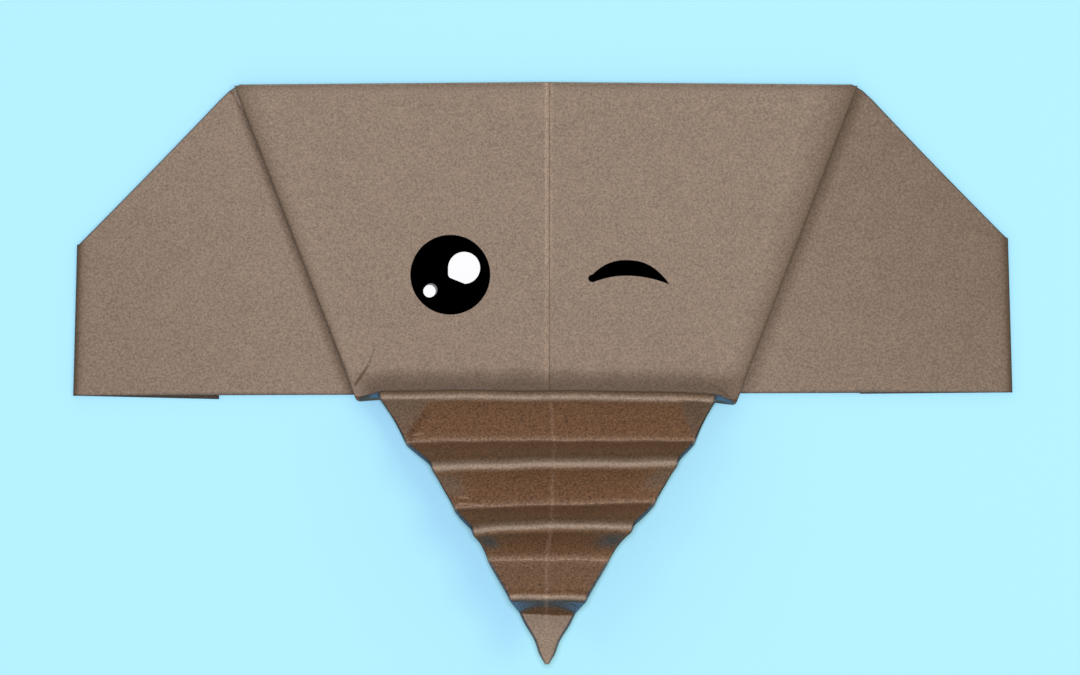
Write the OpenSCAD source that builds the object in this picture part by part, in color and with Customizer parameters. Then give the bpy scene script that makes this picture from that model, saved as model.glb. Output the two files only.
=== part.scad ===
// Origami elephant head, folded from one square of brown paper.
//
// The square is folded corner to corner, so everything below is at least two plies thick.
// Its long folded edge becomes the top of the head. The two raw legs are folded behind to
// the centre line, the points they leave are folded outwards as ears, the ends of the ears
// are folded back, and the lower part is pleated as the trunk.
//
// The head lies on its back, looking up (+Z). The top of the head points to +Y.
// Plies are counted from the front: 1 and 2 are the head, 3 and 4 the flaps behind it,
// 5 and 6 the ears, 7 and 8 the folded ends of the ears, which rest on the table.

/* [Paper] */
// Side of the square sheet
sheet_side = 150; // [140:1:200]
// Thickness of the paper
paper_t = 0.14; // [0.1:0.01:0.2]
// Air left between one ply and the next
ply_gap = 0.08; // [0.04:0.01:0.14]
// Width of the slit behind, where the two flaps meet
flap_slit = 0.3; // [0.2:0.05:1]

/* [Head] */
// How far each lower corner of the head spreads past its straight side fold
corner_spread = 1.3; // [0:0.1:2.5]
// Distance from the lower edge of the ears to the first crease of the trunk
trunk_start = 0.4; // [0:0.1:2]

/* [Ears] */
// Length folded back from the end of the left ear, along its lower edge
left_fold = 21.1; // [12:0.1:30]
// Length folded back from the end of the right ear, along its lower edge
right_fold = 22.2; // [12:0.1:30]
// Lean of the fold at the end of the left ear
left_lean = 2.3; // [0:0.1:5]
// Lean of the fold at the end of the right ear
right_lean = 1.9; // [0:0.1:5]
// How far the folded end hangs below the left ear
left_hang = 0.6; // [0:0.05:1.5]
// How far the folded end hangs below the right ear
right_hang = 0.25; // [0:0.05:1.5]
// Length missing from the blunt corner of each folded end
blunt_corner = 0.8; // [0:0.1:3]

/* [Trunk] */
// Length of paper in each pleat, from crease to crease
pleat_len = 7.1; // [5.5:0.05:7.5]
// Length of paper in the last short pleat, above the tip
last_pleat_len = 3.9; // [3:0.1:5]
// Slope of the first pleat, which climbs out of the head
climb_1 = 96; // [80:1:100]
// Slope of the second pleat, downwards
drop_1 = 24; // [15:1:50]
// Slope of the third pleat, upwards
climb_2 = 66; // [40:1:75]
// Slope of the fourth pleat, downwards
drop_2 = 30; // [15:1:50]
// Slope of the fifth pleat, upwards
climb_3 = 69; // [40:1:75]
// Slope of the sixth pleat, downwards
drop_3 = 53; // [20:1:65]
// Slope of the seventh pleat, upwards
climb_4 = 38; // [25:1:70]
// Slope of the last short pleat, downwards
drop_4 = 66; // [30:1:75]
// Slope of the tip, upwards
tip_climb = 26; // [10:1:50]
// How much a falling pleat flattens on its way from ridge to valley
fall_curl = 45; // [0:1:50]
// How much a climbing pleat flattens on its way from valley to ridge
climb_curl = 20; // [0:1:30]
// Bend radius at a ridge, in the middle of the plies
ridge_r = 0.8; // [0.6:0.05:1]
// Bend radius in a valley, in the middle of the plies
valley_r = 0.6; // [0.55:0.05:0.8]

/* [Eyes] */
// Thickness of the ink
ink_t = 0.06; // [0.04:0.01:0.1]
// Centre line to the middle of the open eye
eye_x = 13.6; // [10:0.1:16]
// Top of the head to the middle of the open eye
eye_down = 27.1; // [22:0.1:32]
// Radius of the open eye
eye_r = 5.65; // [4:0.05:7]
// Radius of the large glint
glint_r = 2.3; // [1:0.05:2.5]
// Middle of the open eye to the middle of the large glint, towards the centre line
glint_in = 1.9; // [1:0.1:2.5]
// Middle of the open eye to the middle of the large glint, upwards
glint_up = 1; // [0:0.1:2]
// Radius of the small glint
small_glint_r = 1; // [0.5:0.05:1.3]
// Middle of the open eye to the middle of the small glint, away from the centre line
small_glint_out = 3; // [2:0.1:3.4]
// Middle of the open eye to the middle of the small glint, downwards
small_glint_down = 2.25; // [1.5:0.05:2.6]
// Centre line to the inner end of the winking eye
wink_x = 6.5; // [5:0.1:9]
// Top of the head to the inner end of the winking eye
wink_down = 27.5; // [22:0.1:32]
// Width of the winking eye
wink_w = 10.7; // [8:0.1:13]
// Height of the upper line of the winking eye above its ends
lid_rise = 2.8; // [2:0.1:4]
// Height of the lower line of the winking eye above its ends
under_rise = 0.7; // [0.3:0.1:1.7]
// How far the outer end of the winking eye is below the inner end
wink_fall = 0.75; // [0:0.05:1.5]
// Radius of the round inner end of the winking eye
wink_end_r = 0.4; // [0.2:0.05:0.6]

/* [Hidden] */

paper_brown = "#8f7a6b";
ink_black = "#0b0a0b";
ink_white = "#ffffff";
$fn = 32;
fold_steps = 4;      // facets in the half-round of a side fold
crease_steps = 3;    // facets in the bend of a trunk crease
curl_steps = 2;      // facets along one curved pleat
fold_wall = 0.9;     // a hairpin's wall as a share of the paper, so that its legs sit inside the plies
fold_leg = 0.3;      // length of a hairpin's legs
fold_trim = 0.15;    // a hairpin stops this far short of its corners
pinch_w = 1;         // half width at which the trunk's plies begin to close up
tip_w = 0.17;        // half width at the blunt end of the trunk
eps = 0.01;
plies = 8;           // at the ears' folded ends

// Sheet geometry, measured from the middle of the head's top edge: x across, v downwards
pitch = paper_t + ply_gap;
half_diag = sheet_side / sqrt(2);
corner_x = half_diag * tan(22.5);            // half the head's top edge, and the ears' depth
foot_v = corner_x + trunk_start;             // first crease of the trunk
foot_half_w = corner_x - corner_x * tan(22.5) + corner_spread;
trunk_len = half_diag - foot_v;

// Height of the middle of each ply, of the face of the head, and of the middle of plies 1 to 4
function ply_z(n) = paper_t / 2 + (plies - n) * pitch;
face_z = ply_z(1) + paper_t / 2;
stack_z = (ply_z(1) + ply_z(4)) / 2;
stack_r = face_z - stack_z;                  // outer radius of the head's side folds

// Half width of the head and trunk at a distance s along the paper from the top edge
function half_width(s) = s < foot_v
    ? corner_x + (foot_half_w - corner_x) * s / foot_v
    : foot_half_w * (half_diag - s) / trunk_len;

// ---- Path of the front from the top edge to the tip: each panel is [length, slope at its
// start, slope at its end], and a crease of the right radius joins it to the next ----
function climbing(len, slope) = [len, slope + climb_curl / 2, slope - climb_curl / 2];
function falling(len, slope) = [len, -slope - fall_curl / 2, -slope + fall_curl / 2];
tip_len = trunk_len - 7 * pleat_len - last_pleat_len;
panels = [
    [foot_v, 0, 0],
    climbing(pleat_len, climb_1), falling(pleat_len, drop_1),
    climbing(pleat_len, climb_2), falling(pleat_len, drop_2),
    climbing(pleat_len, climb_3), falling(pleat_len, drop_3),
    climbing(pleat_len, climb_4), [last_pleat_len, -drop_4, -drop_4],
    [tip_len, tip_climb, tip_climb]
];
last_panel = len(panels) - 1;

// Turn of the crease after panel k, and the length of paper in its bend
function turn(k) = panels[k + 1][1] - panels[k][2];
function bend_len(k) = k < 0 || k >= last_panel ? 0
    : abs(turn(k)) * PI / 180 * (turn(k) > 0 ? valley_r : ridge_r);
function straight_len(k) = panels[k][0] - (bend_len(k - 1) + bend_len(k)) / 2;

// The path as short steps [length, slope]: one for a flat panel, several for a curved one
function arc_steps(length, a, b, n) = [for (i = [0:n - 1]) [length / n, a + (b - a) * (i + 0.5) / n]];
path_steps = [for (k = [0:last_panel]) each concat(
    arc_steps(straight_len(k), panels[k][1], panels[k][2],
              panels[k][1] == panels[k][2] ? 1 : curl_steps),
    k < last_panel ? arc_steps(bend_len(k), panels[k][2], panels[k + 1][1], crease_steps) : [])];

// Stations [s, forward, up, slope] at the joints of the steps. The slope at a joint is the
// mean of its two steps, so that the plies keep their thickness round a bend.
function walk(i, s, f, z) = i == len(path_steps) ? [] :
    let (len_i = path_steps[i][0], a = path_steps[i][1],
         b = i + 1 < len(path_steps) ? path_steps[i + 1][1] : a,
         s2 = s + len_i, f2 = f + len_i * cos(a), z2 = z + len_i * sin(a))
    concat([[s2, f2, z2, (a + b) / 2]], walk(i + 1, s2, f2, z2));
raw_stations = concat([[0, 0, 0, 0]], walk(0, 0, 0, 0));

// Stations added on a straight stretch: where the flaps begin, and where the tip closes up
function between(a, b, s) = a + (b - a) * (s - a[0]) / (b[0] - a[0]);
flap_s = 2 * stack_r;
pinch_s = half_diag - pinch_w * trunk_len / foot_half_w;
end_s = half_diag - tip_w * trunk_len / foot_half_w;
n_raw = len(raw_stations);
tip_from = raw_stations[n_raw - 2];
tip_to = raw_stations[n_raw - 1];
stations = concat(
    [raw_stations[0], between(raw_stations[0], raw_stations[1], flap_s)],
    [for (i = [1:n_raw - 2]) raw_stations[i]],
    [between(tip_from, tip_to, pinch_s), between(tip_from, tip_to, end_s)]);

// ---- Bands: plies 1 and 4, and inside them 2 and 3, are each one strip of paper that runs
// round both side folds and ends at the slit behind ----

// Mid-line of a band across the front, as [x, depth, outward normal x, outward normal depth]
function band_line(depth, fold_x, edge_x) = concat(
    [[-edge_x, -depth, 0, -1]],
    [for (i = [0:fold_steps]) let (a = 270 - 180 * i / fold_steps)
        [-fold_x + depth * cos(a), depth * sin(a), cos(a), sin(a)]],
    [for (i = [0:fold_steps]) let (a = 90 - 180 * i / fold_steps)
        [fold_x + depth * cos(a), depth * sin(a), cos(a), sin(a)]],
    [[edge_x, -depth, 0, -1]]);

// One ring of a band: the outer skin's points, then the inner skin's, set across the path
function ring(st, depth) =
    let (w = half_width(st[0]), pinch = min(1, w / pinch_w),
         fold_x = w - stack_r * pinch,
         edge_x = max(flap_slit / 2 * pinch, min(corner_x - st[0], fold_x - eps * pinch)),
         line = band_line(depth * pinch, fold_x, edge_x),
         half_t = paper_t / 2 * pinch)
    [for (side = [1, -1]) for (p = line)
        let (d = p[1] + side * half_t * p[3])
        [p[0] + side * half_t * p[2], -st[1] + d * sin(st[3]), stack_z + st[2] + d * cos(st[3])]];

// A quad, given anticlockwise as seen from outside, as two triangles
function quad(a, b, c, d) = [[a, c, b], [a, d, c]];

module band(depth) {
    line_n = 2 * fold_steps + 4;
    ring_n = 2 * line_n;
    rings = len(stations);
    points = [for (st = stations) each ring(st, depth)];
    skins = [for (r = [0:rings - 2]) for (j = [0:line_n - 2]) each
        let (a = r * ring_n + j, b = a + ring_n, c = a + line_n, d = b + line_n)
        concat(quad(a, b, b + 1, a + 1), quad(c, c + 1, d + 1, d))];
    raw_edges = [for (r = [0:rings - 2]) each
        let (a = r * ring_n, b = a + ring_n, last = line_n - 1)
        concat(quad(a, a + line_n, b + line_n, b),
               quad(a + last, b + last, b + last + line_n, a + last + line_n))];
    ends = [for (j = [0:line_n - 2]) each
        let (a = j, b = (rings - 1) * ring_n + j)
        concat(quad(a, a + 1, a + 1 + line_n, a + line_n),
               quad(b, b + line_n, b + 1 + line_n, b + 1))];
    polyhedron(points, concat(skins, raw_edges, ends));
}

// ---- Flat plies and the hairpin folds between them ----

// One flat ply with the given outline in [x, v]
module flat_ply(n, outline) {
    translate([0, 0, ply_z(n) - paper_t / 2]) linear_extrude(paper_t)
        polygon([for (p = outline) [p[0], -p[1]]]);
}

// Section of a hairpin fold whose plies lie 2 * r apart, bulging to +X
module hairpin(r) {
    wall = paper_t * fold_wall;
    outer = r + wall / 2;
    inner = r - wall / 2;
    difference() {
        union() {
            circle(r = outer);
            translate([-fold_leg, -outer]) square([fold_leg, 2 * outer]);
        }
        circle(r = inner);
        translate([-2 * outer - fold_leg, -inner]) square([2 * outer + fold_leg, 2 * inner]);
        translate([-2 * outer - fold_leg, -2 * outer]) square([2 * outer, 4 * outer]);
    }
}

// A fold along the crease from a to b in [x, v], joining two plies. It bulges to the left
// of the way from a to b.
module fold(a, b, upper, lower) {
    run = [b[0] - a[0], a[1] - b[1]];
    translate([a[0], -a[1], (ply_z(upper) + ply_z(lower)) / 2])
        rotate([0, 0, atan2(run[1], run[0])]) translate([fold_trim, 0, 0])
            rotate([90, 0, 90]) linear_extrude(norm(run) - 2 * fold_trim)
                hairpin((ply_z(upper) - ply_z(lower)) / 2);
}

// ---- One ear, on the +X side: plies 5 and 6, and its folded end, plies 7 and 8 ----
module ear(fold_len, lean, hang) {
    reach = 2 * corner_x - fold_len;
    top_corner = [corner_x, 0];
    inner_corner = [flap_slit / 2, corner_x - flap_slit / 2];
    fold_foot = [reach, corner_x];
    // The fold leans, and meets the ear's 45 degree edge x = corner_x + v
    fold_top_v = (reach - corner_x * (1 + tan(lean))) / (1 - tan(lean));
    fold_top = [corner_x + fold_top_v, fold_top_v];
    // The folded end reaches back under the ear, and its corner is blunt
    slant = hang / fold_len;
    end_x = reach - fold_len + blunt_corner;
    end_low = [end_x, corner_x + hang];
    edge_slope = (fold_top[1] - corner_x - hang) / (fold_top[0] - reach + fold_len);
    end_high = [end_x, corner_x + hang + edge_slope * blunt_corner];
    folded_end = [fold_top, fold_foot, end_low, end_high];
    ear_outline = [top_corner, fold_top, fold_foot, [inner_corner[0], corner_x], inner_corner];

    for (n = [5, 6]) flat_ply(n, ear_outline);
    for (n = [7, 8]) flat_ply(n, folded_end);
    // Flap to ear
    fold(inner_corner, top_corner, 4, 5);
    fold(inner_corner, top_corner, 3, 6);
    // The ear's 45 degree edge, which is part of the sheet's first fold
    fold(top_corner, fold_top, 5, 6);
    fold(end_high, fold_top, 7, 8);
    // Ear to folded end
    fold(fold_top, fold_foot, 6, 7);
    fold(fold_top, fold_foot, 5, 8);
}

// Where the whole head lies: its box is centred on the origin, and its back is at z = 0
top_bulge = (pitch + paper_t * fold_wall) / 2;
tip_reach = stations[len(stations) - 1][1] + stack_r * tip_w / pinch_w * sin(tip_climb);
module placed() {
    translate([(right_fold - left_fold) / 2, (tip_reach - top_bulge) / 2, 0]) children();
}

module folded_sheet() {
    color(paper_brown) placed() {
        band(ply_z(1) - stack_z);
        band(ply_z(2) - stack_z);
        fold([-corner_x + stack_r, 0], [corner_x - stack_r, 0], 1, 2);
        ear(right_fold, right_lean, right_hang);
        mirror([1, 0, 0]) ear(left_fold, left_lean, left_hang);
    }
}

// ---- Eyes, drawn in ink on the face ----
glint_z = face_z + ink_t;
module ink_dot(x, v, z, r) {
    translate([x, -v, z]) cylinder(h = ink_t, r = r);
}

module open_eye() {
    color(ink_black) placed() ink_dot(-eye_x, eye_down, face_z, eye_r);
}

module eye_glints() {
    color(ink_white) placed() {
        ink_dot(glint_in - eye_x, eye_down - glint_up, glint_z, glint_r);
        ink_dot(-eye_x - small_glint_out, eye_down + small_glint_down, glint_z, small_glint_r);
    }
}

// Circle of the given chord and rise, as [radius, depth of its centre below the chord]
function chord_circle(chord, rise) =
    let (r = (chord * chord / 4 + rise * rise) / (2 * rise)) [r, r - rise];

// A crescent between two arcs that share their ends, with a round inner end
module winking_eye() {
    lid = chord_circle(wink_w, lid_rise);
    under = chord_circle(wink_w, under_rise);
    color(ink_black) placed()
        translate([wink_x, -wink_down, face_z]) rotate([0, 0, -atan2(wink_fall, wink_w)])
            translate([wink_w / 2, 0, 0]) linear_extrude(ink_t) {
                difference() {
                    translate([0, -lid[1]]) circle(r = lid[0]);
                    translate([0, -under[1]]) circle(r = under[0]);
                    translate([-wink_w, -2 * lid[0]]) square([2 * wink_w, 2 * lid[0]]);
                }
                translate([wink_end_r - wink_w / 2, 0]) circle(r = wink_end_r);
            }
}

folded_sheet();
open_eye();
eye_glints();
winking_eye();
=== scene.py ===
import bmesh
import bpy
import numpy as np
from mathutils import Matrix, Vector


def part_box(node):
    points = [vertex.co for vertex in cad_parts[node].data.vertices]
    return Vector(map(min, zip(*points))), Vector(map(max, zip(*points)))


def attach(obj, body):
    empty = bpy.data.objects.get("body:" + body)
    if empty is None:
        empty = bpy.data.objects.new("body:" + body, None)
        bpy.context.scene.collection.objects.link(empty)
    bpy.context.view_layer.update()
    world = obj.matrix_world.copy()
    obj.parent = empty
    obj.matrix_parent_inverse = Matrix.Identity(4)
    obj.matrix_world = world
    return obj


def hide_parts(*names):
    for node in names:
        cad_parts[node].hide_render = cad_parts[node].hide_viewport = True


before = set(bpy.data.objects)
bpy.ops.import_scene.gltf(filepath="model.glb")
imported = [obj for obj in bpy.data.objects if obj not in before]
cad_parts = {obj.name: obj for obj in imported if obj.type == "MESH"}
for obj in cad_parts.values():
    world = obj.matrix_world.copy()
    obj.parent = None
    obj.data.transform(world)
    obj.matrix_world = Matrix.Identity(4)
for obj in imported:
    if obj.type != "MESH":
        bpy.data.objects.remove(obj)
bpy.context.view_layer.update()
MM = 0.001

# ---- Folding paper -----------------------------------------------------------------------
# One 150 mm square of brown kraft folding paper. It is folded corner to corner, its legs are
# folded behind to the centre line, the points that leaves become the ears, the ears' ends go
# behind again, and the lower part is pleated as the trunk. It is one sheet from end to end.

# Lengths are in mm and slopes in degrees. On the front of the paper x runs right from its
# middle, and s runs down it from the top edge, along the paper.
paper_t = 0.14
pitch = 0.22                                    # a ply and the air behind it
half_diag = 150 / np.sqrt(2)
leg_slope = np.tan(np.radians(22.5))            # of the legs, from the centre line
corner_x = half_diag * leg_slope                # half width at the top edge
foot_s = corner_x + 0.4                         # first crease of the trunk
foot_spread = 1.15                              # beyond where true folding puts the foot's ends
foot_half_w = corner_x * (1 - leg_slope) + foot_spread
stack_z = paper_t / 2 + 5.5 * pitch             # height of the middle of the head's four plies
stack_r = 1.5 * pitch + paper_t / 2             # from their middle to their front
inner_x = corner_x - stack_r                    # end of the top edge, where the ear turns out
slit = 0.15                                     # half the gap between the flaps behind
paper_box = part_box("folded_sheet")
fold_top = paper_box[1].y / MM - (pitch + 0.9 * paper_t) / 2   # the fold line, inside the edge
longer_left_ear = 0.55                          # it puts the sheet's middle right of the box's
middle_x = (paper_box[0].x + paper_box[1].x) / 2 / MM + longer_left_ear

# The trunk's path: [length, slope at its start, slope at its end] of each panel of paper,
# and the bend radius of the crease that ends it.
first_pleat, pleat, short_pleat = 7.0, 7.1, 3.9
ridge_r, valley_r = 0.8, 0.6
panels = np.array([
    [foot_s, 0, 0, valley_r],
    [first_pleat, 103, 83, 0.35], [pleat, -46.5, -1.5, valley_r],
    [pleat, 68, 64, ridge_r], [pleat, -52.5, -7.5, valley_r],
    [pleat, 70, 66, 0.65], [pleat, -74.5, -29.5, valley_r],
    [pleat, 46, 38, 0.45], [short_pleat, -60, -60, valley_r],
    [half_diag - foot_s - first_pleat - 6 * pleat - short_pleat, 28, 28, 0],
])
foot, first_ridge, first_valley, second_ridge, second_valley = range(5)
third_ridge, third_valley, last_ridge, last_valley = range(5, 9)
lengths, slopes_in, slopes_out, bend_r = panels.T
creases = np.cumsum(lengths[:-1])
stations = np.concatenate([[0], creases, [half_diag]])
turns = np.radians(slopes_in[1:] - slopes_out[:-1])
bends = np.abs(turns) * bend_r[:-1]
ridge = turns < 0

# The path over paper distance s: its slope is straight lines between the ends of the bends,
# and its cosine and sine are summed along s.
knots = np.concatenate([[0], np.ravel(np.stack([creases - bends / 2, creases + bends / 2], 1)),
                        [half_diag]])
knot_slopes = np.concatenate([[0], np.ravel(np.stack([slopes_out[:-1], slopes_in[1:]], 1)),
                              [slopes_out[-1]]])
path_step = 0.02
path_s = np.arange(0, half_diag + path_step, path_step)
path_slope = np.radians(np.interp(path_s, knots, knot_slopes))
path_f = np.concatenate([[0], np.cumsum(np.cos(path_slope[1:]) * path_step)])
path_up = np.concatenate([[0], np.cumsum(np.sin(path_slope[1:]) * path_step)])

# Hand folding leaves every crease a little out of true. Of each crease: how far its left and
# right ends lie below its middle, how far its two corners droop beyond that, how far its
# middle lies right of the sheet's, and how far its middle lies below true.
uneven = np.array([
    [0, 0.25, 0.15, 0.5, -0.1, 0.07], [0, 0.42, 0, 0.05, 0.05, 0.07], [0.15, 0.1, 0, 0, 0.5, 0.2],
    [0.5, -0.05, 0, 0, 1.1, -0.06], [0.42, -0.42, 0, 0, 1.1, -0.04],
    [0.65, 0.15, 0, 0, 0.82, -0.3], [0, 0.15, 0, 0, 0.2, 0], [0.15, 0.3, 0, 0, 0.15, -0.25],
    [-0.1, -0.05, 0, 0, 0.05, 0],
])
left_low, right_low, left_droop, right_droop, right_shift, middle_low = uneven.T


def waves(x, y, length, seed, count=6):
    """Smooth noise of about unit size: a sum of sine waves of roughly the given length, with
    directions and phases drawn from a seeded generator."""
    rng = np.random.default_rng(seed)
    total = 0
    for _ in range(count):
        turn, phase = rng.uniform(0, 2 * np.pi, 2)
        k = 2 * np.pi / (length * rng.uniform(0.7, 1.5))
        total = total + np.sin(k * (x * np.cos(turn) + y * np.sin(turn)) + phase)
    return total / np.sqrt(count / 2)


def bump(t):
    """Smooth bump, a squared cosine: 1 at t = 0, falling to 0 at t = 1 and beyond, either way."""
    return np.where(np.abs(t) < 1, np.cos(np.clip(t, -1, 1) * np.pi / 2) ** 2, 0)


# Where the trunk's sides run in a little: [s, how far, reach either way]
side_dips = [[68, 0.25, 20], [57, 0.2, 5], [72.4, 0.25, 3.5], [79.7, 0.16, 2.5], [84, 0.1, 5],
             [102, 0.3, 3]]


def half_width(s):
    """Half width of the head and trunk at s: a shallow bow from the top corner to the foot of
    the head, straight from there to the tip but for a few dips, and blunt at the tip."""
    bow = 0.17 * (s / foot_s) ** 2
    head = corner_x + 0.3 + (foot_half_w - corner_x) * s / foot_s - bow
    sides_meet = half_diag + 0.9
    trunk = foot_half_w * (sides_meet - s) / (sides_meet - foot_s)
    for at, dip, reach in side_dips:
        trunk = trunk - dip * bump((s - at) / reach)
    flare = 0.13 * np.clip(foot_s + 1 - s, 0, 1)
    blunt_tip = 0.6 * (half_diag - s)
    return np.where(s < foot_s, head, np.minimum(trunk + flare, blunt_tip))


def sway(s):
    """How far the middle of the sheet lies right of its centre line at s, in straight lines
    from the top edge to each crease in turn and to the tip."""
    return np.interp(s, stations, np.concatenate([[-0.13], right_shift, [0.0]]))


def droop(s, x):
    """How far down the page paper at s and x lies from where true folding would put it: the
    error of each crease there, fading to nothing at the creases on either side of it, and a
    slow fall of the top edge towards its ends."""
    share = x / np.maximum(half_width(s), 1)
    total = 0.0085 * np.abs(x) * np.clip(1 - s / foot_s, 0, 1)
    for k in range(len(creases)):
        offset = middle_low[k] + (left_low[k] + right_low[k]) / 2 * share ** 2
        offset = offset + (right_low[k] - left_low[k]) / 2 * share
        offset = offset + left_droop[k] * np.clip(-share, 0, 1) ** 8
        offset = offset + right_droop[k] * np.clip(share, 0, 1) ** 5
        if k != foot:
            offset = offset + 0.05 * waves(x, 0, length=9, seed=20 + k, count=4)
        before, at, after = stations[k:k + 3]
        near = np.minimum((s - before) / (at - before), (after - s) / (after - at))
        total = total + offset * np.clip(near, 0, 1)
    return total


def puff(s, x):
    """Lift of the front plies: air swells the head between its side folds, its top edge and
    its foot, by an amount that rises from them and levels off."""
    lift, reach = 0.3, 2.5
    inside = np.minimum(half_width(s) - np.abs(x), np.minimum(s, foot_s - s) * 1.2)
    return lift * (1 - np.exp(-np.clip(inside, 0, None) / reach))


def place(s, x, depth):
    """Points in space of paper at distance s along the path and x across, depth in front of
    the middle of the stack: the path's point, moved along the path's normal. At the two ends
    of the head's foot the plies are gripped tight and stand a little further down the page."""
    s, x, depth = np.broadcast_arrays(*[np.asarray(a, float) for a in (s, x, depth)])
    slope = np.interp(s, path_s, path_slope)
    left = x < 0
    grip = np.clip((np.abs(x) - np.where(left, 23.4, 24.0)) / 1.2, 0, 1)
    grip = grip * np.clip((s - foot_s + 4) / 3, 0, 1) * np.clip((foot_s + 9 - s) / 3, 0, 1)
    off = depth * (1 - 0.35 * grip) + np.where(depth > 0, puff(s, x), 0)
    f = np.interp(s, path_s, path_f) - off * np.sin(slope) + droop(s, x)
    f = f + grip * np.where(left, 0.3, 0.2)
    up = np.interp(s, path_s, path_up) + off * np.cos(slope)
    return np.stack([x + middle_x + sway(s), fold_top - f, stack_z + up], -1)


def spaced(start, end, step_at):
    """Values from start to end whose spacing follows step_at(value), evenly rounded."""
    fine = np.linspace(start, end, 4000)
    count = np.concatenate([[0], np.cumsum(np.diff(fine) / step_at(fine[:-1]))])
    return np.interp(np.linspace(0, count[-1], int(np.ceil(count[-1])) + 1), count, fine)


# The paper's painted light and shade has four parts, each 0 for none: painted shade of bent
# paper (brown, with 0 the taupe of a painted sheen), painted highlight, painted slate shade and
# reflection of the blue card, and painted shade
bend_shade, painted_highlight, blue_shade, painted_shade = range(4)
off_the_front = np.array([0, -50, 5])           # clear of every mark and shade there
grids = []


def add_grid(points, tone, where=None):
    """Keeps a grid of points for the sheet, with its painted light and shade and its place on the
    front of the paper: mm right of the middle, mm down, and mm from the fold between head and
    ear, over the reach of the shade there."""
    size = points.shape[:2]
    place_on = off_the_front if where is None else np.stack(
        [np.broadcast_to(c, size) for c in where], -1)
    grids.append((points, np.broadcast_to(tone, size + (4,)),
                  np.broadcast_to(place_on, size + (3,))))


def beside_fold(s, x):
    """Distance from the fold between head and ear over the reach of the shade beside it:
    positive on the head, negative on the ear, and out of reach below the head's foot."""
    inward = half_width(np.minimum(s, foot_s)) - np.abs(x)
    share = np.clip(s / foot_s, 0, 1)
    on_head = np.where(x < 0, 3.4 - 2.9 * share, 6.4 - 3.8 * share)
    on_ear = np.where(x < 0, 1.1 + 0.9 * share, 2.1 + 0.6 * share)
    return np.where(inward > 0, inward / on_head, inward / on_ear) + 5 * (s > foot_s)


# Tones of the paper beside a crease: [distance down the page from it, painted bend shade (brown),
# painted highlight, painted slate shade, painted shade]. Ridges have a painted highlight and
# painted shade above them; valleys have a thin painted highlight line.
ridge_tones = np.array([
    [-2.3, 1.0, 0.02, 0, 0], [-1.7, 1.02, 0.01, 0, 0.1], [-1.28, 1.0, 0.01, 0, 0.2],
    [-0.85, 0.7, 0, 0, 0.6], [-0.43, 0.28, 0, 0, 0.5], [-0.28, 0.15, 0, 0, 0.35],
    [-0.14, 0, 0.1, 0, 0.05], [0.04, 0, 0.4, 0, 0], [0.28, 0.05, 0.2, 0, 0],
    [0.43, 0.3, 0, 0, 0], [0.57, 0.68, 0, 0, 0], [0.71, 0.92, 0, 0, 0], [0.92, 1.0, 0, 0, 0],
    [1.1, 1.03, 0, 0, 0], [3.5, 1.0, 0, 0, 0],
])
first_ridge_tones = np.array([
    [-0.9, 0.7, 0, 0, 0.18], [-0.4, 0.7, 0, 0, 0.18], [-0.27, 0.45, 0, 0, 0.1],
    [-0.13, 0.1, 0.1, 0, 0], [0, 0, 0.3, 0, 0], [0.13, 0, 0.3, 0, 0], [0.25, 0.1, 0.1, 0, 0],
    [0.38, 0.35, 0, 0, 0], [0.52, 0.65, 0, 0, 0], [0.66, 0.9, 0, 0, 0], [0.85, 1, 0, 0, 0],
    [3.5, 1.0, 0, 0, 0],
])
last_ridge_tones = np.array([
    [-2.5, 1, 0, 0, 0], [-0.5, 1, 0, 0, 0], [-0.38, 0.75, 0.05, 0, 0], [-0.25, 0.4, 0.15, 0, 0],
    [-0.13, 0.1, 0.35, 0, 0], [0, 0, 0.45, 0, 0], [0.15, 0, 0.1, 0, 0],
    [0.3, 0.2, 0, 0.3, 0.3], [0.45, 0.4, 0, 0.8, 0], [0.6, 1, 0, 1, 0], [1.3, 1, 0, 1, 0],
])
valley_tones = np.array([
    [-1.85, 1.02, 0, 0, 0], [-1.2, 1, 0, 0, 0], [-0.85, 1, 0.04, 0, 0], [-0.6, 0.97, 0.15, 0, 0],
    [-0.35, 0.95, 0.28, 0, 0], [-0.2, 0.95, 0.4, 0, 0], [-0.07, 0.95, 0.4, 0, 0],
    [0.04, 0.97, 0.15, 0, 0], [0.15, 1, 0.04, 0, 0], [0.5, 1, 0.04, 0, 0], [1.1, 1, 0.02, 0, 0],
])
# Of the tip past the last valley, in the same columns: painted shade just below the wall, fading
# out down the tip
tip_tones = np.array([[0.0, 1, 0, 0, 0.5], [0.12, 0.6, 0, 0, 0.3], [0.3, 0.05, 0, 0, 0]])
# Painted shade of the head above its foot, where the trunk's first wall shades it: [s, shade]
foot_shade = np.array([[40.3, 0.03], [41, 0.38], [41.6, 0.6], [42.2, 0.72], [42.8, 0.78],
                      [43.5, 0.69]])


def read_tones(table, distance):
    """Painted light and shade at a distance down the page from a crease, in straight lines
    between the rows of its table."""
    return np.stack([np.interp(distance, table[:, 0], column) for column in table[:, 1:].T], -1)


def crease_tone(k, below):
    """Painted light and shade beside crease k, at a distance below it down the page."""
    if k == first_ridge:
        return read_tones(first_ridge_tones, below)
    if k == last_ridge:
        return read_tones(last_ridge_tones, below)
    if k == third_ridge:
        below = np.where(below > 0, below * 1.3, below * 1.2)   # its marks lie closer to it
    return read_tones(ridge_tones if ridge[k] else valley_tones, below)


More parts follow.
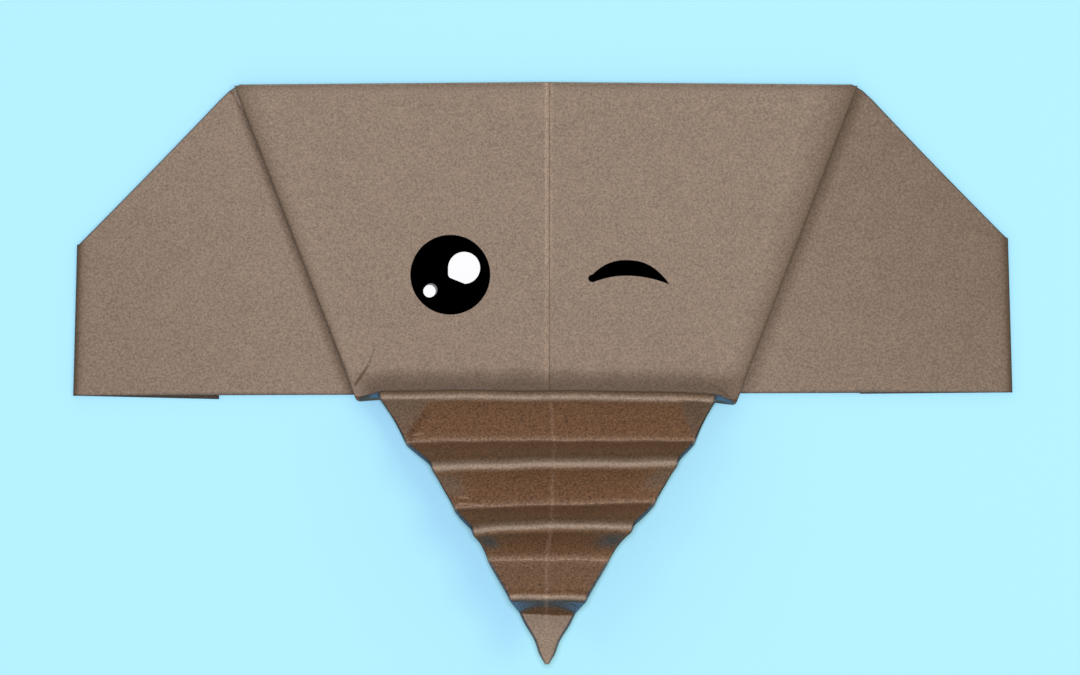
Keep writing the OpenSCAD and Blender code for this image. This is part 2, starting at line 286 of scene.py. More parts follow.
def front_tone(s, x):
    """Painted light and shade of the front at s and x. It is read from the tables of the creases
    before and after s and blended half-way between them, and then each panel's own painted marks
    are added."""
    s, x = np.broadcast_arrays(s, x)
    left = x < 0
    plan = np.interp(s, path_s, path_f - stack_r * np.sin(path_slope))
    apex = []                                   # of each crease, down the page
    for k, at in enumerate(creases):
        near = (path_s > at - 1) & (path_s < at + 1)
        flat = path_s[near][np.argmin(np.abs(path_slope[near]))] if ridge[k] else at
        apex.append(np.interp(flat, path_s, path_f))
    edge = half_width(s) - np.abs(x)
    outward = x / np.maximum(half_width(s), 1)
    # The head: a little painted light towards its foot, and painted shade where the foot bends
    # down out of the light beside the trunk's first wall
    tone = np.zeros(s.shape + (4,))
    tone[..., painted_highlight] = 0.06 * np.clip((s - 33) / 5, 0, 1)
    wavy_s = s - 0.1 * waves(x, 0, length=5, seed=3)
    tone[..., painted_shade] = np.interp(wavy_s, *foot_shade.T) * np.clip(edge / 2.5, 0, 1)
    # The trunk: each panel, from its upper crease to its lower
    for k in range(first_ridge, last_valley + 1):
        upper, lower = k - 1, k
        if lower == first_ridge:
            share = 1
        elif lower == last_valley:
            share = 0
        else:
            share = np.clip((plan - apex[upper]) / max(apex[lower] - apex[upper], 0.1), 0, 1)
            share = np.clip((share - 0.4) / 0.2, 0, 1)[..., None]
        value = crease_tone(upper, plan - apex[upper]) * (1 - share)
        value = value + crease_tone(lower, plan - apex[lower]) * share
        on = s >= creases[upper] - (0.4 if upper == foot else 0)
        tone = np.where(on[..., None], value, tone)
    # The tip, past the last valley: a painted highlight, growing towards its end
    past = plan - apex[last_valley]
    tip = read_tones(tip_tones, past)
    tip[..., painted_highlight] = tip[..., painted_highlight] + 0.04 + 0.16 * np.clip((past - 1.5) / 3, 0, 1)
    tone = np.where((s >= creases[last_valley])[..., None], tip, tone)
    # Foot of the wall that rises to the first ridge, at its two ends: painted slate shade
    ends = (s > foot_s + 0.15) & (s < creases[first_ridge] - 0.6) & (np.abs(x) > 23)
    tone = np.where(ends[..., None], np.array([0, 0, 1.0, 0]), tone)
    # Panel after the third ridge: more painted shade
    shading = bump((plan - (apex[third_ridge] + apex[third_valley]) / 2) / 2.2)
    shading = 0.22 * shading * (s > creases[third_ridge] + 0.6) * (s < creases[third_valley])
    tone[..., painted_shade] = tone[..., painted_shade] + shading
    # Climb to the last ridge: a painted highlight, the most at its start
    pale = 0.1 + 0.2 * np.exp(-np.clip(plan - apex[third_valley], 0, None) / 0.5)
    pale = pale * (s > creases[third_valley]) * (s < creases[last_ridge] - 1)
    tone[..., painted_highlight] = tone[..., painted_highlight] + pale
    # Wall below the last ridge: painted slate reflection of the blue card, then painted shade in
    # brown, with an arched boundary
    wall = (s > creases[last_ridge] + 0.3) & (s < creases[last_valley])
    under_arch = plan - apex[last_ridge] - 1.2 - 1.0 * outward ** 2
    blue = tone[..., blue_shade] * np.clip(1 - under_arch / 0.35, 0, 1) * (1 + 0.5 * outward ** 2)
    tone[..., blue_shade] = np.where(wall, blue, tone[..., blue_shade])
    tone[..., painted_shade] = np.where(wall, 0.55 * np.clip(under_arch / 0.35, 0, 1), tone[..., painted_shade])
    tone[..., bend_shade] = np.where(wall & (under_arch > 0), 0.9, tone[..., bend_shade])
    # First panel: its corners stand flatter, so they get less painted bend shade and more painted
    # shade, which leaves them greyer, with a painted shadow streak beside them
    down = np.clip((plan - apex[first_ridge]) / (apex[first_valley] - apex[first_ridge]), 0, 1)
    reach_left = np.interp(down, [0, 0.15, 0.45, 0.78, 1], [9.4, 6.2, 3.6, 0.8, 0])
    reach_right = np.interp(down, [0, 0.4, 0.75, 1], [5.2, 3, 1.2, 0])
    inside = np.where(left, reach_left, reach_right) - edge
    corner = (s > creases[first_ridge]) & (s < creases[first_valley] - 0.2)
    corner = np.clip(inside / 0.35 + 0.5, 0, 1) * corner
    corner = corner * np.clip((plan - apex[first_ridge]) / 0.3, 0, 1)
    greyer = 0.55 * corner * (tone[..., bend_shade] > 0.3)
    tone[..., bend_shade] = tone[..., bend_shade] * (1 - corner) + greyer
    more_shade = np.where(left, 0.48, 0.7) * corner * (tone[..., painted_highlight] < 0.2)
    tone[..., painted_shade] = tone[..., painted_shade] + more_shade
    corner_shadow = bump((inside + 0.7) / 0.8) * (down > 0.3) * (down < 0.95)
    corner_shadow = corner_shadow * (s > creases[first_ridge]) * (s < creases[first_valley])
    tone[..., painted_shade] = tone[..., painted_shade] + np.where(left, 0.7, 0.1) * corner_shadow
    # Third panel: painted shade makes its ends greyer
    grey = bump((plan - apex[second_ridge] - 2.6) / 2.4) * bump((edge - 1.2) / 3.2)
    grey = grey * ((s > creases[second_ridge]) & (s < creases[second_valley]))
    tone[..., bend_shade] = tone[..., bend_shade] - 0.45 * grey
    tone[..., painted_shade] = tone[..., painted_shade] + 0.5 * grey
    # Third ridge: painted slate reflection of the blue card in the hollows under its two ends
    hollow = bump((plan - apex[third_ridge] - 1.9) / 1.5)
    hollow = hollow * (s > creases[third_ridge] + 0.4) * (s < creases[third_valley])
    hollow = hollow * bump((edge - 1.6) / np.where(left, 2, 3.4))
    tone[..., blue_shade] = tone[..., blue_shade] + 0.95 * hollow
    return tone


half_columns = spaced(0, 1, lambda t: np.clip((1 - t) * 0.25 + 0.008, 0.003, 0.028))
front_columns = np.concatenate([-half_columns[:0:-1], half_columns])
# How much painted slate shade and reflection the sides of the wall behind the head's foot get:
# mm past the foot's crease, and the amount there on the left and on the right
wall_s, left_wall_shade, right_wall_shade = [0.4, 0.9, 3.5, 5], [0.4, 1.0, 1.05, 1.6], [0.4, 1.3, 1.5, 1.5]


def layer(depth, rows):
    """One layer of the folded square between the ears' creases: the front, a half-round at
    each side fold, the flaps behind and a half-round at each ear's crease. Its rows are at the
    given distances s from the top edge, and it lies depth from the middle of the stack."""
    s = rows[:, None]
    w = half_width(s)
    pinch = np.clip(w, 0.1, 1)                  # the plies close up at the tip
    fold_x = w - stack_r * pinch
    d = depth * pinch
    ear_r = 2 * pitch - depth
    edge_x = np.maximum(slit * pinch, np.minimum(inner_x - s, fold_x))
    x = front_columns[None, :] * fold_x
    add_grid(place(s, x, d), front_tone(s, x), (x, s, beside_fold(s, x)))
    for side in (-1, 1):
        # Side fold: its rim gets a painted slate shade, the more so where the paper lies flat
        angle = np.radians(np.linspace(90, -90, 7))[None, :]
        x = side * (fold_x + d * np.cos(angle))
        steep = np.abs(np.sin(np.interp(s, path_s, path_slope)))
        rim = np.clip(1.6 * np.cos(angle), 0, 1) ** (1 + 3 * steep)
        rim = rim * (s > creases[first_ridge] - 0.5)
        tone = front_tone(s, x) + np.array([0, 0, 1.5, 0.45]) * rim[..., None]
        wall = (s > foot_s + 0.4) & (s < creases[first_ridge] - 0.5)
        wall_shade = np.interp(s - foot_s, wall_s, left_wall_shade if side < 0 else right_wall_shade)
        tone = np.where(wall[..., None], wall_shade[..., None] * np.array([0, 0, 1, 0]), tone)
        add_grid(place(s, x, d * np.sin(angle)), tone, (x, s, beside_fold(s, x)))
        # Flap behind: painted shade on it behind the trunk's first wall
        x = side * (fold_x + (edge_x - fold_x) * np.linspace(0, 1, 11)[None, :])
        behind_wall = (s > foot_s - 0.4) & (s < creases[first_ridge])
        add_grid(place(s, x, -d), behind_wall[..., None] * np.array([0.4, 0, 0.45, 0.2]))
        # Crease where the flap turns out as the ear, at 45 degrees to the rows
        flat = rows <= inner_x - slit
        angle = np.radians(np.linspace(90, -90, 5))[None, :]
        reach = ear_r * np.cos(angle) / np.sqrt(2)
        cx, cs = edge_x[flat] - reach, s[flat] - reach
        up = stack_z - 2 * pitch + ear_r * np.sin(angle)
        cs = cs + droop(s[flat], side * edge_x[flat])
        points = np.stack([side * cx + middle_x + sway(s[flat]), fold_top - cs, up + 0 * cx], -1)
        add_grid(points, np.zeros(4))


def step_near_creases(s, near, far, reach):
    """Row spacing that grows from near, at a crease, to far, at its reach and beyond."""
    away = np.min(np.abs(s[:, None] - creases[None, :]), 1)
    return near + (far - near) * np.clip(away / reach, 0, 1)


head_rows = spaced(0, inner_x - slit, lambda s: np.clip((foot_s - s) * 0.12, 0.35, 1.2))
last_row = half_diag - 0.39                     # the tip ends bluntly, short of the corner
outer_rows = spaced(inner_x - slit, last_row, lambda s: step_near_creases(s, 0.12, 0.45, 2.0))
inner_rows = spaced(inner_x - slit, last_row, lambda s: step_near_creases(s, 0.35, 0.9, 1.6))
layer(1.5 * pitch, np.concatenate([head_rows, outer_rows[1:]]))
layer(0.5 * pitch, np.concatenate([head_rows, inner_rows[1:]]))

# Top edge of the head, a half-round where the two layers join
angle = np.radians(np.linspace(90, -90, 5))[:, None]
x = front_columns[None, :] * inner_x
top = place(0 * x, x, pitch + pitch / 2 * np.sin(angle))
top[..., 1] += pitch / 2 * np.cos(angle)
add_grid(top, np.zeros(4), (x, 0, beside_fold(0 * x, x)))

# Ears: at each station along the ear, a column from the raw lower edge up to the ear's upper
# boundary. The folded end turns about a line behind the ear.
ears = [
    # side, length folded back, lean in degrees, hang of the folded end, missing corner, how
    # far the lower edge lies below true at the head and at the ear's end, and how far the
    # 45 degree edge lies above true at its two ends
    (-1, 21.1, 1.5, 0.5, 0.8, 0.2, 0.35, 0.2, -0.08),
    (1, 22.05, 1.6, 0.2, 0.8, 0.0, -0.12, 0.32, 0.05),
]
ear_aside = 100                                 # keeps an ear's place clear of the head's marks


def ear_points(side, x, v, h, turn, back, lean):
    """Points of an ear at x across and v down, h in front of its middle, turned by an angle
    about the fold at its end, and back from that fold: out to the fold and round it on a
    half-circle, then straight back."""
    radius = pitch + h
    out = x - back * np.sin(turn / 2) ** 2 + radius * np.sin(turn)
    up = stack_z - 4 * pitch + radius * np.cos(turn)
    down = v + droop(v, side * np.clip(inner_x - v, 0, x))
    return np.stack([side * out + middle_x + sway(v), fold_top - down, up + 0 * out], -1)


for side, fold_len, lean, hang, blunt, low, low_end, high, high_end in ears:
    reach = 2 * corner_x - fold_len
    first = inner_x - head_rows[::-1]
    more = spaced(inner_x, reach, lambda t: np.clip((reach - t) * 0.35, 0.12, 1.4))[1:]
    fold_turns = np.radians(np.linspace(0, 180, 7))[1:-1]
    folded = spaced(0, fold_len - blunt, lambda t: np.full_like(t, 1.4))
    fold_and_end = np.full(len(fold_turns) + len(folded), reach)
    before_fold = np.zeros(len(first) + len(more))
    x0 = np.concatenate([first, more, fold_and_end])
    turn = np.concatenate([before_fold, fold_turns, np.full(len(folded), np.pi)])
    back = np.concatenate([before_fold, np.zeros(len(fold_turns)), folded])
    paper = x0 + back                           # distance out along the unfolded ear
    v_top = np.maximum(np.maximum(inner_x - paper, paper - corner_x), 0)
    v_top = v_top - np.interp(x0, [corner_x, corner_x + 2, reach], [0, high, high_end])
    rise = np.concatenate([[0, 0.004, 0.012, 0.03], np.linspace(0, 1, 15)[1:]])[None, :]
    lower = corner_x + np.interp(x0, [half_width(foot_s), reach], [low, low_end])[:, None]
    v = lower + (v_top[:, None] - lower) * rise
    leaning = np.clip((paper - corner_x) / (reach - corner_x), 0, 1)[:, None]
    x = x0[:, None] - (corner_x - v) * np.tan(np.radians(lean)) * leaning
    v = v + hang * (back / fold_len)[:, None]
    # Painted shade darkens the right ear towards its top, and both ears towards the fold at their
    # ends. The raw lower edge and the fold get painted slate shade.
    far = np.clip((x - half_width(v)) / 30, 0, 1)
    near_top = np.clip(1 - v / corner_x, 0, 1)
    shading = (0.03 + 0.2 * far) if side < 0 else (0.08 + 0.32 * near_top + 0.25 * far)
    shading = shading + (0.8 if side < 0 else 0.65) * np.exp(-(reach - x0[:, None]) / 0.5)
    edge_shade = 0.6 * np.sin(turn / 2)[:, None] + 0 * v + np.clip(1 - rise / 0.008, 0, 1)
    tone = np.stack([0 * shading, 0 * shading, edge_shade, shading], -1)
    ear_place = side * (x + ear_aside), v, beside_fold(v, side * x)
    for h in (0.5 * pitch, -0.5 * pitch):
        add_grid(ear_points(side, x, v, h, turn[:, None], back[:, None], lean), tone, ear_place)
    # The folded 45 degree edge, where the ear's two plies join
    edge = paper >= inner_x
    angle = np.radians(np.linspace(90, -90, 5))[None, :]
    out = 0.5 * pitch * np.cos(angle) / np.sqrt(2)
    ex = x[edge][:, -1:] + out * np.cos(turn[edge])[:, None]
    ev = v[edge][:, -1:] - out
    # Painted slate shade along the folded edge
    rim = tone[edge][:, -1:] + np.array([0, 0, 0.9, 0.5]) * np.cos(angle)[..., None]
    points = ear_points(side, ex, ev, 0.5 * pitch * np.sin(angle), turn[edge][:, None],
                        back[edge][:, None], lean)
    add_grid(points, rim, [c[edge][:, -1:] for c in ear_place])


def quads(rows, columns, start):
    """Corner indices of the quads of a grid whose points start at the given index."""
    i = np.arange(rows * columns).reshape(rows, columns) + start
    return np.stack([i[:-1, :-1], i[1:, :-1], i[1:, 1:], i[:-1, 1:]], -1).reshape(-1, 4)


points, tones, wheres, faces, start = [], [], [], [], 0
for grid, tone, where in grids:
    points.append(grid.reshape(-1, 3))
    tones.append(tone.reshape(-1, 4))
    wheres.append(where.reshape(-1, 3))
    faces.append(quads(*grid.shape[:2], start))
    start += len(points[-1])
mesh = bpy.data.meshes.new("paper_sheet")
mesh.from_pydata(np.concatenate(points) * MM, [], np.concatenate(faces).tolist())
painted_light = mesh.attributes.new("painted_light", "FLOAT_COLOR", "POINT")
painted_light.data.foreach_set("color", np.concatenate(tones).ravel().astype(np.float32))
where = mesh.attributes.new("where", "FLOAT_VECTOR", "POINT")
where.data.foreach_set("vector", np.concatenate(wheres).ravel().astype(np.float32))
bm = bmesh.new()
bm.from_mesh(mesh)
bmesh.ops.remove_doubles(bm, verts=bm.verts, dist=0.004 * MM)
bmesh.ops.recalc_face_normals(bm, faces=bm.faces)
bm.to_mesh(mesh)
bm.free()
mesh.shade_smooth()
sheet = bpy.data.objects.new("paper_sheet", mesh)
bpy.context.scene.collection.objects.link(sheet)
thickness = sheet.modifiers.new("paper", "SOLIDIFY")
thickness.thickness = paper_t * MM
thickness.offset = 0


def linear(hex_colour):
    """A linear RGBA colour from an sRGB hex string."""
    c = np.array([int(hex_colour[i:i + 2], 16) for i in (1, 3, 5)]) / 255
    c = np.where(c <= 0.04045, c / 12.92, ((c + 0.055) / 1.055) ** 2.4)
    return (*c.tolist(), 1.0)


def add_node(tree, kind, settings=None, inputs=None):
    """Adds a node, sets its properties, and sets or links its inputs: a value is set, and an
    output socket is linked."""
    node = tree.nodes.new(kind)
    for name, value in (settings or {}).items():
        setattr(node, name, value)
    for name, value in (inputs or {}).items():
        if isinstance(value, bpy.types.NodeSocket):
            tree.links.new(value, node.inputs[name])
        else:
            node.inputs[name].default_value = value
    return node


# Numbers of the sockets of a mix node that mixes colours: three inputs and its output
share_in, colour_a, colour_b, mixed = 0, 6, 7, 2


def line_mark(tree, where, start, end, width):
    """Strength of a thin soft line between two places on the front, both (right, down) in mm:
    the product of two smooth steps, one along the line and one across it."""
    start, end = np.array(start), np.array(end)
    length = np.hypot(*(end - start))
    along = (end - start) / length
    across = np.array([-along[1], along[0]])
    parts = []
    for axis, middle, inner, outer in ((along, length / 2, length / 2 - width, length / 2),
                                       (across, 0, 0, width)):
        dot = add_node(tree, "ShaderNodeVectorMath", {"operation": "DOT_PRODUCT"}, {
            0: where, 1: (*axis.tolist(), 0)}).outputs["Value"]
        offset = add_node(tree, "ShaderNodeMath", {"operation": "SUBTRACT"}, {
            0: dot, 1: float(start @ axis + middle)}).outputs[0]
        size = add_node(tree, "ShaderNodeMath", {"operation": "ABSOLUTE"}, {0: offset}).outputs[0]
        parts.append(add_node(tree, "ShaderNodeMapRange", {"interpolation_type": "SMOOTHSTEP"}, {
            "Value": size, "From Min": inner, "From Max": outer, "To Min": 1.0,
            "To Max": 0.0}).outputs[0])
    return add_node(tree, "ShaderNodeMath", {"operation": "MULTIPLY"}, {
        0: parts[0], 1: parts[1]}).outputs[0]


def total_of(tree, factors):
    """Sum of [socket, weight] pairs."""
    total = 0.0
    for socket, weight in factors:
        total = add_node(tree, "ShaderNodeMath", {"operation": "MULTIPLY_ADD"}, {
            0: socket, 1: weight, 2: total}).outputs[0]
    return total


# The centre crease is a line of painted shade between two painted highlights on the head, and a
# wide painted highlight below. Small crumples and buckles beside the ends of the pleats are
# painted as highlights and shade, and one short strong pale mark is a white speck on the paper.
# Each mark runs [from, to, half width, strength], its ends given as mm right of the middle and
# mm down.
highlight_and_speck_marks = [
    [(0.05, -1), (0.0, 43.6), 0.42, 0.3], [(0.05, -1), (0.05, 26), 0.42, 0.3],
    [(0.75, -1), (0.72, 28), 0.35, 0.35], [(0.45, 51.5), (0.42, 62), 0.42, 0.16],
    [(0.42, 62), (-0.3, 66.5), 0.42, 0.16], [(-0.3, 66.5), (-0.3, 79), 0.42, 0.18],
    [(-0.3, 79), (-0.1, 101), 0.45, 0.22], [(-13.8, 70.6), (-12, 71), 0.25, 0.3],
    [(-13.5, 71.7), (-9.8, 72.2), 0.2, 0.3], [(-19.9, 57.4), (-17.6, 56.8), 0.3, 0.25],
    [(-0.15, 78.8), (0.05, 79), 0.14, 1.5],
]
shade_marks = [
    [(0.52, -1), (0.47, 43.6), 0.13, 0.6], [(-27.3, 42.6), (-25.1, 39.7), 0.35, 0.8],
    [(-25.1, 39.7), (-24.3, 37.3), 0.25, 0.45], [(21.1, 41.4), (24.4, 42.7), 0.25, 0.15],
    [(24.4, 42.7), (26.3, 43.7), 0.3, 0.25], [(-13.6, 71.2), (-10.5, 71.6), 0.2, 0.3],
]
# Shade across the fold between head and ear: [place from the ear's side to the head's, shade]
fold_shade = [[0.0, 0.0], [0.1, 0.18], [0.18, 0.35], [0.31, 0.62], [0.41, 0.74], [0.5, 0.9],
              [0.53, 0.75], [0.6, 0.5], [0.75, 0.22], [1.0, 0.0]]


def kraft_paper():
    """Uncoated kraft folding paper with a fine fibre mottle and no gloss. Its colour carries
    painted light: taupe with a painted sheen where it lies flat, a deeper brown as painted shade
    where it is bent out of the light, painted highlights along its creases, painted shade beside
    the folds between head and ears and in the trunk's creases, and painted slate shade and
    reflection of the blue card in steep and hidden places. Its fibres are too fine to show, so
    they are drawn coarser, at 3.4 to the millimetre."""
    sheen_taupe, shaded_brown = linear("#95826d"), linear("#725338")
    grey_shade, blue_reflection = linear("#4b4b48"), linear("#5588ae")
    highlight_and_speck_pale, shade_tint = linear("#b69b80"), linear("#ada69b")
    material = bpy.data.materials.new("kraft_folding_paper")
    material.use_nodes = True
    tree = material.node_tree
    shader = tree.nodes["Principled BSDF"]
    coords = add_node(tree, "ShaderNodeTexCoord").outputs["Object"]
    painted_light = add_node(tree, "ShaderNodeAttribute", {"attribute_name": "painted_light"})
    parts = add_node(tree, "ShaderNodeSeparateColor", None, {"Color": painted_light.outputs["Color"]})
    bend_shade_part, painted_highlight_part, blue_shade_part = (parts.outputs[n] for n in ("Red", "Green", "Blue"))
    where = add_node(tree, "ShaderNodeAttribute", {"attribute_name": "where"}).outputs["Vector"]
    where_parts = add_node(tree, "ShaderNodeSeparateXYZ", None, {"Vector": where})
    # A little wander over some 3 mm, so that no mark on the trunk is ruler straight
    wander = add_node(tree, "ShaderNodeTexNoise", None, {"Vector": coords, "Scale": 0.3 / MM})
    wander = add_node(tree, "ShaderNodeVectorMath", {"operation": "SUBTRACT"}, {
        0: wander.outputs["Color"], 1: (0.5, 0.5, 0.5)}).outputs[0]
    wandering = add_node(tree, "ShaderNodeVectorMath", {"operation": "MULTIPLY_ADD"}, {
        0: wander, 1: (0.5, 0.5, 0), 2: where}).outputs[0]
    # Shade beside the folds, lighter on the right ear
    shade_at = add_node(tree, "ShaderNodeMapRange", None, {
        "Value": where_parts.outputs["Z"], "From Min": -1.0, "From Max": 1.0}).outputs[0]
    ramp = add_node(tree, "ShaderNodeValToRGB", None, {"Fac": shade_at})
    elements = ramp.color_ramp.elements
    stops_given = len(elements)
    for k, (at, value) in enumerate(fold_shade):
        stop = elements[k] if k < stops_given else elements.new(at)
        stop.position, stop.color = at, (value, value, value, 1)
    lighter_ear = add_node(tree, "ShaderNodeMapRange", None, {
        "Value": where_parts.outputs["X"], "From Min": ear_aside - 1.0,
        "From Max": ear_aside + 1.0, "To Min": 1.0, "To Max": 0.68}).outputs[0]
    shade = add_node(tree, "ShaderNodeMath", {"operation": "MULTIPLY"}, {
        0: ramp.outputs["Color"], 1: lighter_ear}).outputs[0]
    pale, dark = [[[line_mark(tree, wandering if start[1] > foot_s else where, start, end, width),
                    strength] for start, end, width, strength in marks]
                  for marks in (highlight_and_speck_marks, shade_marks)]
    pale.append([painted_highlight_part, 1.0])
    dark.extend([[shade, 1.0], [painted_light.outputs["Alpha"], 1.0]])
    # Colour: taupe with a painted sheen to brown painted shade, then painted slate shade and blue
    # reflection, then painted highlights and shade, then the mottle
    unclamped = {"data_type": "RGBA", "clamp_factor": False}
    base = add_node(tree, "ShaderNodeMix", unclamped, {
        share_in: bend_shade_part, colour_a: sheen_taupe, colour_b: shaded_brown}).outputs[mixed]
    bluer = add_node(tree, "ShaderNodeMath", {"operation": "SUBTRACT"}, {
        0: blue_shade_part, 1: 1.0}).outputs[0]
    for share, colour in ((blue_shade_part, grey_shade), (bluer, blue_reflection),
                          (total_of(tree, pale), highlight_and_speck_pale)):
        base = add_node(tree, "ShaderNodeMix", {"data_type": "RGBA"}, {
            share_in: share, colour_a: base, colour_b: colour}).outputs[mixed]
    shading = add_node(tree, "ShaderNodeMix", {"data_type": "RGBA"}, {
        share_in: total_of(tree, dark), colour_a: (1, 1, 1, 1),
        colour_b: shade_tint}).outputs[mixed]
    grain = add_node(tree, "ShaderNodeTexNoise", None, {
        "Vector": coords, "Scale": 3.4 / MM, "Detail": 3.0, "Roughness": 0.6})
    cloud = add_node(tree, "ShaderNodeTexNoise", None, {
        "Vector": coords, "Scale": 0.26 / MM, "Detail": 2.0})
    grit = add_node(tree, "ShaderNodeMath", {"operation": "SUBTRACT"}, {
        0: grain.outputs["Fac"], 1: 0.5}).outputs[0]
    bend_shade_grit = add_node(tree, "ShaderNodeMath", {"operation": "MULTIPLY"}, {
        0: grit, 1: bend_shade_part}).outputs[0]
    mottle = total_of(tree, [[grit, 1.5], [bend_shade_grit, 1.1], [cloud.outputs["Fac"], 0.12]])
    mottle = add_node(tree, "ShaderNodeMath", {"operation": "ADD"}, {
        0: mottle, 1: 0.94}).outputs[0]
    for factor in (shading, mottle):
        base = add_node(tree, "ShaderNodeMix", {"data_type": "RGBA", "blend_type": "MULTIPLY"}, {
            share_in: 1.0, colour_a: base, colour_b: factor}).outputs[mixed]
    tree.links.new(base, shader.inputs["Base Color"])
    relief = add_node(tree, "ShaderNodeBump", None, {
        "Height": grain.outputs["Fac"], "Distance": 0.02 * MM, "Strength": 0.5})
    tree.links.new(relief.outputs["Normal"], shader.inputs["Normal"])
    shader.inputs["Roughness"].default_value = 0.85
    shader.inputs["Specular IOR Level"].default_value = 0.2
    return material


sheet.data.materials.append(kraft_paper())
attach(sheet, "root")
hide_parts("folded_sheet")

# ---- Eyes ----------------------------------------------------------------------------------
# Marker ink on the paper: a black disc with two white glints, and a black crescent. The ink
# lies on the face as a film, and follows its swell.

ink_t = 0.06


def ink(name, outline_x, outline_s, lift, material, node, slot):
    """A film of ink from a grid of points on the face, its underside lifted off the paper by
    the given height."""
    face = 1.5 * pitch + paper_t / 2
    top = place(outline_s, outline_x, face + (lift + ink_t)).reshape(-1, 3)
    mesh = bpy.data.meshes.new(name)
    mesh.from_pydata(top * MM, [], quads(*outline_x.shape, 0).tolist())
    bm = bmesh.new()
    bm.from_mesh(mesh)
    bmesh.ops.remove_doubles(bm, verts=bm.verts, dist=0.001 * MM)
    bmesh.ops.recalc_face_normals(bm, faces=bm.faces)
    if sum(f.normal.z for f in bm.faces) < 0:
        bmesh.ops.reverse_faces(bm, faces=bm.faces)
    bm.to_mesh(mesh)
    bm.free()
    piece = bpy.data.objects.new(name, mesh)
    bpy.context.scene.collection.objects.link(piece)
    film = piece.modifiers.new("film", "SOLIDIFY")
    film.thickness = ink_t * MM
    film.offset = -1
    piece.data.materials.append(material)
    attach(piece, "root")
    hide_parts(node)


def marker_ink(name, colour):
    """Matte marker ink of one colour, soaked into the paper: it has the paper's own fine
    roughness and no shine."""
    material = bpy.data.materials.new(name)
    material.use_nodes = True
    tree = material.node_tree
    shader = tree.nodes["Principled BSDF"]
    coords = add_node(tree, "ShaderNodeTexCoord").outputs["Object"]
    grain = add_node(tree, "ShaderNodeTexNoise", None, {"Vector": coords, "Scale": 1.5 / MM})
    relief = add_node(tree, "ShaderNodeBump", None, {
        "Height": grain.outputs["Fac"], "Distance": 0.01 * MM, "Strength": 0.3})
    tree.links.new(relief.outputs["Normal"], shader.inputs["Normal"])
    shader.inputs["Base Color"].default_value = linear(colour)
    shader.inputs["Roughness"].default_value = 0.95
    shader.inputs["Specular IOR Level"].default_value = 0.0
    return material


black = marker_ink("black_marker_ink", "#000000")
white = marker_ink("white_marker_ink", "#fffff6")


def disc(cx, cs, r, flat=1):
    """Grid of a disc: rings of growing radius about its middle. With a flat under 1, its lower
    left is cut straight at that share of the radius, and its left side runs straight down to
    the cut in a round corner."""
    angle = np.linspace(0, 2 * np.pi, 97)[None, :]
    cut_towards = np.radians(112)
    cut = flat / np.clip(np.cos(angle - cut_towards), 0.2, 1)
    left_side = 1 / np.clip(-np.cos(angle), 0.2, 1)
    corner = np.minimum(np.minimum(cut, left_side), 1.09)
    in_corner = (flat < 1) & (angle > cut_towards) & (angle < np.pi)
    rim = np.where(in_corner, corner, np.minimum(cut, 1))
    ring = np.linspace(0, 1, 13)[:, None] * r * rim
    return cx + ring * np.cos(angle), cs + ring * np.sin(angle)


eye_x, eye_s, eye_r = -13.6, 27.1, 5.67
ink("open_eye_ink", *disc(eye_x, eye_s, eye_r), 0, black, "open_eye", "black_ink")
ink("large_glint", *disc(eye_x + 1.96, eye_s - 0.97, r=2.27, flat=0.905), ink_t, white,
    "eye_glints", "white_ink")
ink("small_glint", *disc(eye_x - 2.96, eye_s + 2.33, r=0.88), ink_t, white, "eye_glints",
    "white_ink")
# The small glint's ink is thin along its upper right, and looks grey there
ink("thin_glint_edge", *disc(eye_x - 2.76, eye_s + 2.14, r=0.92), ink_t / 2,
    marker_ink("thin_white_marker_ink", "#7c7c7c"), "eye_glints", "white_ink")

# The winking eye: a round left end, an upper and a lower arc, and a sharp right tip. Each arc
# falls from its highest point as a power of the distance from it.
end_x, end_s, end_r = 6.51, 27.6, 0.52
wink_w = 11.5
upper_x, upper_s = 11.4, 24.98
lower_x, lower_s = 11.5, 27.19
x = end_x - end_r + wink_w * np.sin(np.linspace(0, 1, 61) * np.pi / 2)[:, None] ** 2
cap = np.sqrt(np.clip(end_r ** 2 - (x - end_x) ** 2, 0, None))
away = np.abs(x - upper_x)
upper = upper_s + np.where(x < upper_x, 0.055 * away ** 2.31, 0.0378 * away ** 2.48)
lower = lower_s + np.where(x < lower_x, 0.041, 0.0325) * (x - lower_x) ** 2
upper = np.where(x < end_x, end_s - cap, upper)
lower = np.where(x < end_x, end_s + cap, np.maximum(lower, upper))
share = np.linspace(0, 1, 9)[None, :]
ink("winking_eye_ink", x + 0 * share, upper + (lower - upper) * share, 0, black,
    "winking_eye", "black_ink")

# ---- Table, lamps and camera --------------------------------------------------------------
# The head lies face up on a sheet of pale blue card. One small bright lamp is straight above
# it, and two weak ones at the sides reach under the raised trunk. The camera is far off with a
# long lens, so that the trunk does not look wider for standing nearer.

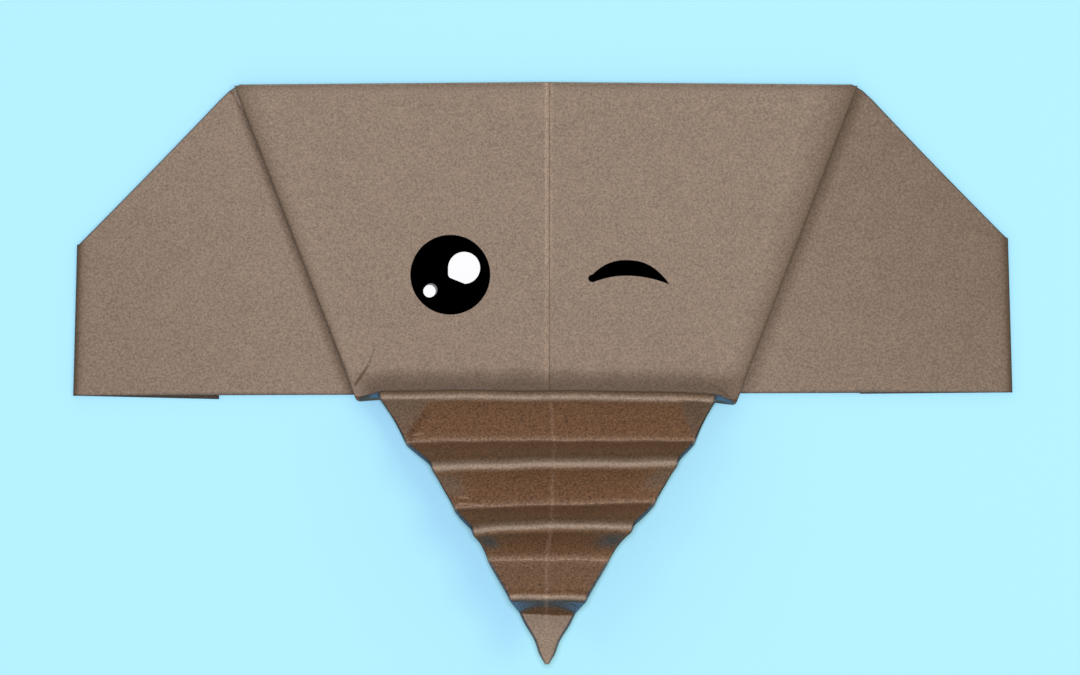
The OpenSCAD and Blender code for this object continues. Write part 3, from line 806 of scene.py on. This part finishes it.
card_size = 6
card_z = -0.02 * MM                             # just clear of the paper's lowest face
card_mesh = bpy.data.meshes.new("table")
corners = [(x * card_size / 2, y * card_size / 2, card_z)
           for x, y in ((-1, -1), (1, -1), (1, 1), (-1, 1))]
card_mesh.from_pydata(corners, [], [(0, 1, 2, 3)])
floor = bpy.data.objects.new("table", card_mesh)
bpy.context.scene.collection.objects.link(floor)
card = bpy.data.materials.new("pale_blue_card")  # uncoated card: even, with no highlight
card.use_nodes = True
card_shader = card.node_tree.nodes["Principled BSDF"]
card_shader.inputs["Base Color"].default_value = linear("#b8f6ff")
card_shader.inputs["Roughness"].default_value = 1.0
card_shader.inputs["Specular IOR Level"].default_value = 0.0
floor.data.materials.append(card)

world = bpy.data.worlds.new("studio")
bpy.context.scene.world = world
world.use_nodes = True
background = world.node_tree.nodes["Background"]
background.inputs["Color"].default_value = (0.36, 0.36, 0.325, 1)
background.inputs["Strength"].default_value = 1.0


def soft_lamp(name, lean, azimuth, distance, size, energy, colour):
    """A square lamp that leans from the vertical towards an azimuth and faces the head."""
    data = bpy.data.lights.new(name, "AREA")
    data.size, data.energy, data.color = size, energy, colour
    lamp = bpy.data.objects.new(name, data)
    a, e = np.radians(azimuth), np.radians(lean)
    lamp.location = (distance * np.sin(e) * np.cos(a), distance * np.sin(e) * np.sin(a),
                     distance * np.cos(e))
    lamp.rotation_euler = (0, e, a)
    bpy.context.scene.collection.objects.link(lamp)


bluish, yellowish = (0.622, 0.625, 0.89), (1.0, 0.98, 0.5)
soft_lamp("top_lamp", lean=0, azimuth=0, distance=1.2, size=0.1, energy=11.07, colour=bluish)
soft_lamp("right_lamp", lean=25, azimuth=0, distance=0.9, size=0.3, energy=1.0,
          colour=yellowish)
soft_lamp("left_lamp", lean=35, azimuth=180, distance=0.9, size=0.35, energy=0.33,
          colour=yellowish)

lens, sensor_w = 600, 36
view_w = 153.41 * MM                            # width of the view at the table
camera = bpy.data.objects.new("camera", bpy.data.cameras.new("camera"))
camera.data.lens = lens
camera.data.sensor_width = sensor_w
camera.data.clip_end = 10
camera.location = (-0.43 * MM, 5.04 * MM, view_w * lens / sensor_w)
bpy.context.scene.collection.objects.link(camera)
bpy.context.scene.camera = camera
bpy.context.scene.view_settings.view_transform = "Standard"
